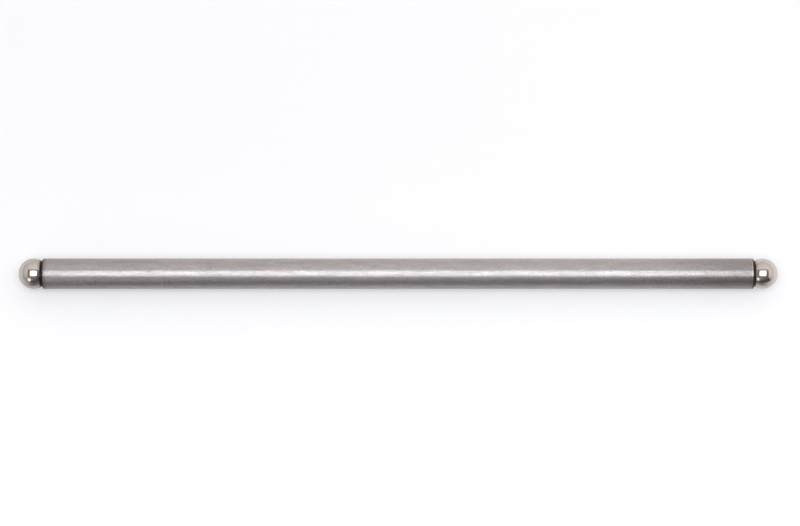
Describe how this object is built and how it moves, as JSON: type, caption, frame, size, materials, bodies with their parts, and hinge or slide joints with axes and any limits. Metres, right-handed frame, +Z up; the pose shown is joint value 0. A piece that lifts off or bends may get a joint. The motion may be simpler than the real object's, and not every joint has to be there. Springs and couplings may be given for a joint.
{
  "type": "engine pushrod",
  "caption": "Straight steel tube with a polished, oil-drilled ball welded to each end; passes a valve lifter's motion up to the rocker arm.",
  "frame": {"origin": "the centre of the lifter's ball, the point about which the rod swings in the lifter's cup", "axes": "+X along the rod's axis from the lifter's ball to the rocker's ball; +Z up, as the rod lies in the picture"},
  "size_m": [0.1978, 0.008, 0.008],
  "materials": {
    "tube_steel": "satin",
    "ball_steel": "polished"
  },
  "bodies": {
    "root": {"tube": "tube_steel", "lifter_ball_end": "ball_steel", "rocker_ball_end": "ball_steel"}
  },
  "joints": []
}
